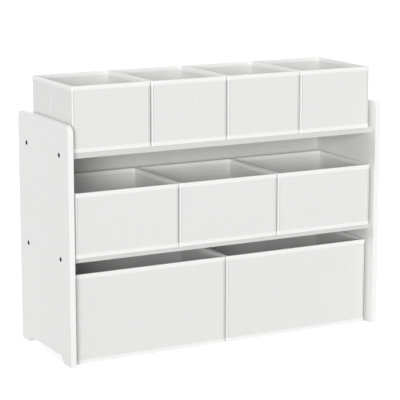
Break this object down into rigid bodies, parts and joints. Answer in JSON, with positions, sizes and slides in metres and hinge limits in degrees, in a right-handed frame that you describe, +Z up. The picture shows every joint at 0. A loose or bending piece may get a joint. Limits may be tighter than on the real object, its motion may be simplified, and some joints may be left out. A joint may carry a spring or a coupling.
{
  "type": "toy storage organizer",
  "caption": "Free-standing toy organizer: white side panels and shelves, a thin back, and rows of pull-out fabric bins with bound rims and loose base boards.",
  "frame": {"origin": "on the floor, under the middle of the organizer's outer box", "axes": "+X to the right along the shelves, seen from the front; +Y to the back; +Z up"},
  "size_m": [0.9, 0.32, 0.698],
  "materials": {
    "white_board": "white melamine-faced particle board, satin",
    "hardboard": "white-faced thin hardboard",
    "screw_steel": "dark zinc-plated steel",
    "beech": "bare beech",
    "cover_fabric": "white non-woven cloth with a faint linen emboss",
    "binding_tape": "white binding tape",
    "cardboard": "grey-brown solid board",
    "covered_board": "board covered with white non-woven cloth"
  },
  "bodies": {
    "frame": {"left_side_panel": "white_board", "right_side_panel": "white_board", "top_shelf": "white_board", "middle_shelf": "white_board", "back_panel": "hardboard", "shelf_screws": "screw_steel", "shelf_dowels": "beech"},
    "top_bin_1": {"top_bin_1_cover": "cover_fabric", "top_bin_1_wall_boards": "cardboard", "top_bin_1_rim_binding": "binding_tape", "top_bin_1_base_binding": "binding_tape"},
    "top_bin_1_loose_board": {"top_bin_1_base_board": "covered_board"},
    "top_bin_2": {"top_bin_2_cover": "cover_fabric", "top_bin_2_wall_boards": "cardboard", "top_bin_2_rim_binding": "binding_tape", "top_bin_2_base_binding": "binding_tape"},
    "top_bin_2_loose_board": {"top_bin_2_base_board": "covered_board"},
    "top_bin_3": {"top_bin_3_cover": "cover_fabric", "top_bin_3_wall_boards": "cardboard", "top_bin_3_rim_binding": "binding_tape", "top_bin_3_base_binding": "binding_tape"},
    "top_bin_3_loose_board": {"top_bin_3_base_board": "covered_board"},
    "top_bin_4": {"top_bin_4_cover": "cover_fabric", "top_bin_4_wall_boards": "cardboard", "top_bin_4_rim_binding": "binding_tape", "top_bin_4_base_binding": "binding_tape"},
    "top_bin_4_loose_board": {"top_bin_4_base_board": "covered_board"},
    "middle_bin_1": {"middle_bin_1_cover": "cover_fabric", "middle_bin_1_wall_boards": "cardboard", "middle_bin_1_rim_binding": "binding_tape", "middle_bin_1_base_binding": "binding_tape"},
    "middle_bin_1_loose_board": {"middle_bin_1_base_board": "covered_board"},
    "middle_bin_2": {"middle_bin_2_cover": "cover_fabric", "middle_bin_2_wall_boards": "cardboard", "middle_bin_2_rim_binding": "binding_tape", "middle_bin_2_base_binding": "binding_tape"},
    "middle_bin_2_loose_board": {"middle_bin_2_base_board": "covered_board"},
    "middle_bin_3": {"middle_bin_3_cover": "cover_fabric", "middle_bin_3_wall_boards": "cardboard", "middle_bin_3_rim_binding": "binding_tape", "middle_bin_3_base_binding": "binding_tape"},
    "middle_bin_3_loose_board": {"middle_bin_3_base_board": "covered_board"},
    "low_bin_1": {"low_bin_1_cover": "cover_fabric", "low_bin_1_wall_boards": "cardboard", "low_bin_1_rim_binding": "binding_tape", "low_bin_1_base_binding": "binding_tape"},
    "low_bin_1_loose_board": {"low_bin_1_base_board": "covered_board"},
    "low_bin_2": {"low_bin_2_cover": "cover_fabric", "low_bin_2_wall_boards": "cardboard", "low_bin_2_rim_binding": "binding_tape", "low_bin_2_base_binding": "binding_tape"},
    "low_bin_2_loose_board": {"low_bin_2_base_board": "covered_board"}
  },
  "joints": [
    {"name": "top_bin_1_slide", "type": "slide", "parent": "frame", "child": "top_bin_1", "axis": [0, -1, 0], "range_m": [-0.016, 0.29]},
    {"name": "top_bin_1_board_lift", "type": "slide", "parent": "top_bin_1", "child": "top_bin_1_loose_board", "axis": [0, 0, 1], "range_m": [0, 0.165]},
    {"name": "top_bin_2_slide", "type": "slide", "parent": "frame", "child": "top_bin_2", "axis": [0, -1, 0], "range_m": [-0.016, 0.29]},
    {"name": "top_bin_2_board_lift", "type": "slide", "parent": "top_bin_2", "child": "top_bin_2_loose_board", "axis": [0, 0, 1], "range_m": [0, 0.165]},
    {"name": "top_bin_3_slide", "type": "slide", "parent": "frame", "child": "top_bin_3", "axis": [0, -1, 0], "range_m": [-0.016, 0.29]},
    {"name": "top_bin_3_board_lift", "type": "slide", "parent": "top_bin_3", "child": "top_bin_3_loose_board", "axis": [0, 0, 1], "range_m": [0, 0.165]},
    {"name": "top_bin_4_slide", "type": "slide", "parent": "frame", "child": "top_bin_4", "axis": [0, -1, 0], "range_m": [-0.016, 0.29]},
    {"name": "top_bin_4_board_lift", "type": "slide", "parent": "top_bin_4", "child": "top_bin_4_loose_board", "axis": [0, 0, 1], "range_m": [0, 0.165]},
    {"name": "middle_bin_1_slide", "type": "slide", "parent": "frame", "child": "middle_bin_1", "axis": [0, -1, 0], "range_m": [-0.028, 0.29]},
    {"name": "middle_bin_1_board_lift", "type": "slide", "parent": "middle_bin_1", "child": "middle_bin_1_loose_board", "axis": [0, 0, 1], "range_m": [0, 0.165]},
    {"name": "middle_bin_2_slide", "type": "slide", "parent": "frame", "child": "middle_bin_2", "axis": [0, -1, 0], "range_m": [-0.028, 0.29]},
    {"name": "middle_bin_2_board_lift", "type": "slide", "parent": "middle_bin_2", "child": "middle_bin_2_loose_board", "axis": [0, 0, 1], "range_m": [0, 0.165]},
    {"name": "middle_bin_3_slide", "type": "slide", "parent": "frame", "child": "middle_bin_3", "axis": [0, -1, 0], "range_m": [-0.028, 0.29]},
    {"name": "middle_bin_3_board_lift", "type": "slide", "parent": "middle_bin_3", "child": "middle_bin_3_loose_board", "axis": [0, 0, 1], "range_m": [0, 0.165]},
    {"name": "low_bin_1_slide", "type": "slide", "parent": "frame", "child": "low_bin_1", "axis": [0, -1, 0], "range_m": [-0.012, 0.29]},
    {"name": "low_bin_1_board_lift", "type": "slide", "parent": "low_bin_1", "child": "low_bin_1_loose_board", "axis": [0, 0, 1], "range_m": [0, 0.23]},
    {"name": "low_bin_2_slide", "type": "slide", "parent": "frame", "child": "low_bin_2", "axis": [0, -1, 0], "range_m": [-0.012, 0.29]},
    {"name": "low_bin_2_board_lift", "type": "slide", "parent": "low_bin_2", "child": "low_bin_2_loose_board", "axis": [0, 0, 1], "range_m": [0, 0.23]}
  ]
}
